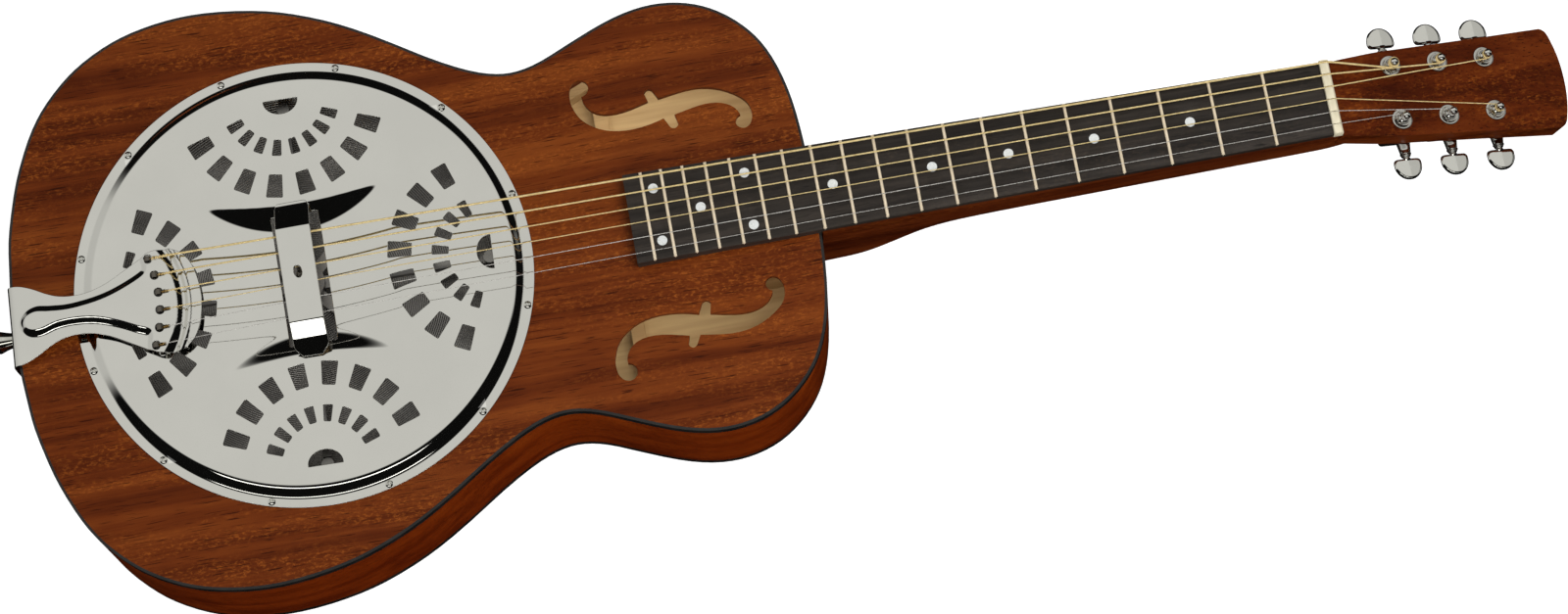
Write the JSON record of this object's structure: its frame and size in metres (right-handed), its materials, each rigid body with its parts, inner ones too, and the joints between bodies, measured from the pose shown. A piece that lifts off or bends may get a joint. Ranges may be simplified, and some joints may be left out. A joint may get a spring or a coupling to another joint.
{
  "type": "resonator guitar",
  "caption": "Flat-back wooden resonator guitar with a vented domed metal cover plate, two f-shaped sound holes, trapeze tailpiece, fretted neck and geared tuners.",
  "frame": {"origin": "on the outside of the flat back, straight under the centre of the resonator cover plate", "axes": "+X towards the headstock, +Y towards the bass side, +Z out of the soundboard"},
  "size_m": [1.0106, 0.3766, 0.1142],
  "materials": {
    "top_wood": "open-grained reddish mahogany soundboard, satin",
    "side_wood": "darker mahogany sides and back, satin",
    "neck_wood": "mahogany neck, satin",
    "inner_wood": "pale unfinished lining wood",
    "dark_wood": "near-black oiled fingerboard wood",
    "maple": "maple",
    "binding": "black binding",
    "chrome": "polished chrome plate",
    "spun_aluminium": "spun aluminium with fine rings",
    "cast_aluminium": "cast aluminium",
    "steel": "bright steel",
    "brass": "brass",
    "fret_metal": "polished nickel silver",
    "marker": "pearl dots",
    "nut_bone": "cream nut",
    "string_bronze": "bronze-wound strings",
    "string_steel": "plain steel strings"
  },
  "bodies": {
    "root": {"back": "side_wood", "back_binding": "binding", "back_braces": "inner_wood", "ball_ends": "brass", "cover_plate": "chrome", "cover_screws": "chrome", "fingerboard": "dark_wood", "fingerboard_riser": "dark_wood", "fret_markers": "marker", "frets": "fret_metal", "hand_rest": "chrome", "linings": "inner_wood", "neck": "neck_wood", "neck_block": "inner_wood", "neck_bolts": "steel", "nut": "nut_bone", "plain_strings": "string_steel", "resonator_cone": "spun_aluminium", "saddle_inserts": "maple", "sides": "side_wood", "soundboard": "top_wood", "soundwell_ring": "inner_wood", "spider_bridge": "cast_aluminium", "strap_button": "chrome", "strap_button_screw": "chrome", "tail_block": "inner_wood", "tailpiece": "chrome", "tension_screw": "steel", "top_binding": "binding", "top_braces": "inner_wood", "truss_rod": "steel", "tuner_bushings": "chrome", "tuner_housings": "chrome", "tuner_screws": "chrome", "tuner_washers": "chrome", "wound_strings": "string_bronze"},
    "button_bass_1": {"tuner_button_bass_1": "chrome", "tuner_worm_bass_1": "steel"},
    "post_bass_1": {"tuner_post_bass_1": "chrome", "tuner_gear_bass_1": "brass"},
    "button_bass_2": {"tuner_button_bass_2": "chrome", "tuner_worm_bass_2": "steel"},
    "post_bass_2": {"tuner_post_bass_2": "chrome", "tuner_gear_bass_2": "brass"},
    "button_bass_3": {"tuner_button_bass_3": "chrome", "tuner_worm_bass_3": "steel"},
    "post_bass_3": {"tuner_post_bass_3": "chrome", "tuner_gear_bass_3": "brass"},
    "button_treble_1": {"tuner_button_treble_1": "chrome", "tuner_worm_treble_1": "steel"},
    "post_treble_1": {"tuner_post_treble_1": "chrome", "tuner_gear_treble_1": "brass"},
    "button_treble_2": {"tuner_button_treble_2": "chrome", "tuner_worm_treble_2": "steel"},
    "post_treble_2": {"tuner_post_treble_2": "chrome", "tuner_gear_treble_2": "brass"},
    "button_treble_3": {"tuner_button_treble_3": "chrome", "tuner_worm_treble_3": "steel"},
    "post_treble_3": {"tuner_post_treble_3": "chrome", "tuner_gear_treble_3": "brass"}
  },
  "joints": [
    {"name": "turn_button_bass_1", "type": "hinge", "parent": "root", "child": "button_bass_1", "pos_m": [0.69917, 0.044, 0.05519], "axis": [0, 1, 0], "continuous": true},
    {"name": "turn_post_bass_1", "type": "hinge", "parent": "root", "child": "post_bass_1", "pos_m": [0.69729, 0.018, 0.07791], "axis": [0.2544, 0, 0.9671], "continuous": true},
    {"name": "turn_button_bass_2", "type": "hinge", "parent": "root", "child": "button_bass_2", "pos_m": [0.73051, 0.044, 0.04694], "axis": [0, 1, 0], "continuous": true},
    {"name": "turn_post_bass_2", "type": "hinge", "parent": "root", "child": "post_bass_2", "pos_m": [0.72863, 0.018, 0.06967], "axis": [0.2544, 0, 0.9671], "continuous": true},
    {"name": "turn_button_bass_3", "type": "hinge", "parent": "root", "child": "button_bass_3", "pos_m": [0.76184, 0.044, 0.0387], "axis": [0, 1, 0], "continuous": true},
    {"name": "turn_post_bass_3", "type": "hinge", "parent": "root", "child": "post_bass_3", "pos_m": [0.75996, 0.018, 0.06143], "axis": [0.2544, 0, 0.9671], "continuous": true},
    {"name": "turn_button_treble_1", "type": "hinge", "parent": "root", "child": "button_treble_1", "pos_m": [0.69917, -0.044, 0.05519], "axis": [0, -1, 0], "continuous": true},
    {"name": "turn_post_treble_1", "type": "hinge", "parent": "root", "child": "post_treble_1", "pos_m": [0.69729, -0.018, 0.07791], "axis": [0.2544, 0, 0.9671], "continuous": true},
    {"name": "turn_button_treble_2", "type": "hinge", "parent": "root", "child": "button_treble_2", "pos_m": [0.73051, -0.044, 0.04694], "axis": [0, -1, 0], "continuous": true},
    {"name": "turn_post_treble_2", "type": "hinge", "parent": "root", "child": "post_treble_2", "pos_m": [0.72863, -0.018, 0.06967], "axis": [0.2544, 0, 0.9671], "continuous": true},
    {"name": "turn_button_treble_3", "type": "hinge", "parent": "root", "child": "button_treble_3", "pos_m": [0.76184, -0.044, 0.0387], "axis": [0, -1, 0], "continuous": true},
    {"name": "turn_post_treble_3", "type": "hinge", "parent": "root", "child": "post_treble_3", "pos_m": [0.75996, -0.018, 0.06143], "axis": [0.2544, 0, 0.9671], "continuous": true}
  ],
  "couplings": [
    {"joint": "turn_post_bass_1", "follows": "turn_button_bass_1", "ratio": -0.071429},
    {"joint": "turn_post_bass_2", "follows": "turn_button_bass_2", "ratio": -0.071429},
    {"joint": "turn_post_bass_3", "follows": "turn_button_bass_3", "ratio": -0.071429},
    {"joint": "turn_post_treble_1", "follows": "turn_button_treble_1", "ratio": -0.071429},
    {"joint": "turn_post_treble_2", "follows": "turn_button_treble_2", "ratio": -0.071429},
    {"joint": "turn_post_treble_3", "follows": "turn_button_treble_3", "ratio": -0.071429}
  ]
}
